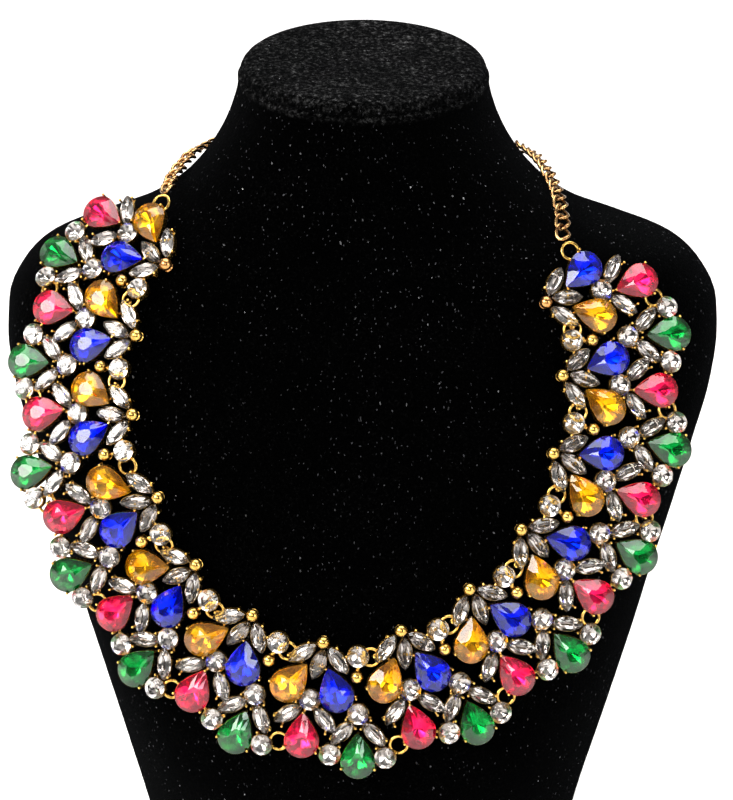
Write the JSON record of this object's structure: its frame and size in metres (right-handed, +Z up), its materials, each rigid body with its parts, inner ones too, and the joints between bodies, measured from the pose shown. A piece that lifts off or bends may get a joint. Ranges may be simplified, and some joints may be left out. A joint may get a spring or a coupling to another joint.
{
  "type": "bib necklace on neck bust",
  "caption": "Wide bib necklace of jewelled openwork castings joined by jump rings, worn with its back chain on a velvet-covered neck and shoulder display bust.",
  "frame": {"origin": "on the surface the bust stands on, in the left-right middle of the bust, below the middle of its shoulders", "axes": "+Z up from the base towards the neck, -Y out of the chest towards the viewer, +X to the viewer's right"},
  "size_m": [0.216, 0.1386, 0.2583],
  "materials": {
    "velvet": "black velvet",
    "casting": "antique gold plating set with faceted stones",
    "ring_wire": "antique gold plating",
    "chain_metal": "antique gold plating"
  },
  "bodies": {
    "root": {"bust": "velvet", "link_01": "casting", "link_02": "casting", "link_03": "casting", "link_04": "casting", "link_05": "casting", "link_06": "casting", "link_07": "casting", "link_08": "casting", "link_09": "casting", "link_10": "casting", "link_11": "casting", "link_12": "casting", "link_13": "casting", "ring_inner_01": "ring_wire", "ring_inner_02": "ring_wire", "ring_inner_03": "ring_wire", "ring_inner_04": "ring_wire", "ring_inner_05": "ring_wire", "ring_inner_06": "ring_wire", "ring_inner_07": "ring_wire", "ring_inner_08": "ring_wire", "ring_inner_09": "ring_wire", "ring_inner_10": "ring_wire", "ring_inner_11": "ring_wire", "ring_inner_12": "ring_wire", "ring_outer_01": "ring_wire", "ring_outer_02": "ring_wire", "ring_outer_03": "ring_wire", "ring_outer_04": "ring_wire", "ring_outer_05": "ring_wire", "ring_outer_06": "ring_wire", "ring_outer_07": "ring_wire", "ring_outer_08": "ring_wire", "ring_outer_09": "ring_wire", "ring_outer_10": "ring_wire", "ring_outer_11": "ring_wire", "ring_outer_12": "ring_wire", "end_ring_left": "ring_wire", "end_ring_right": "ring_wire", "chain_left": "chain_metal", "chain_right": "chain_metal", "clasp": "chain_metal"}
  },
  "joints": []
}
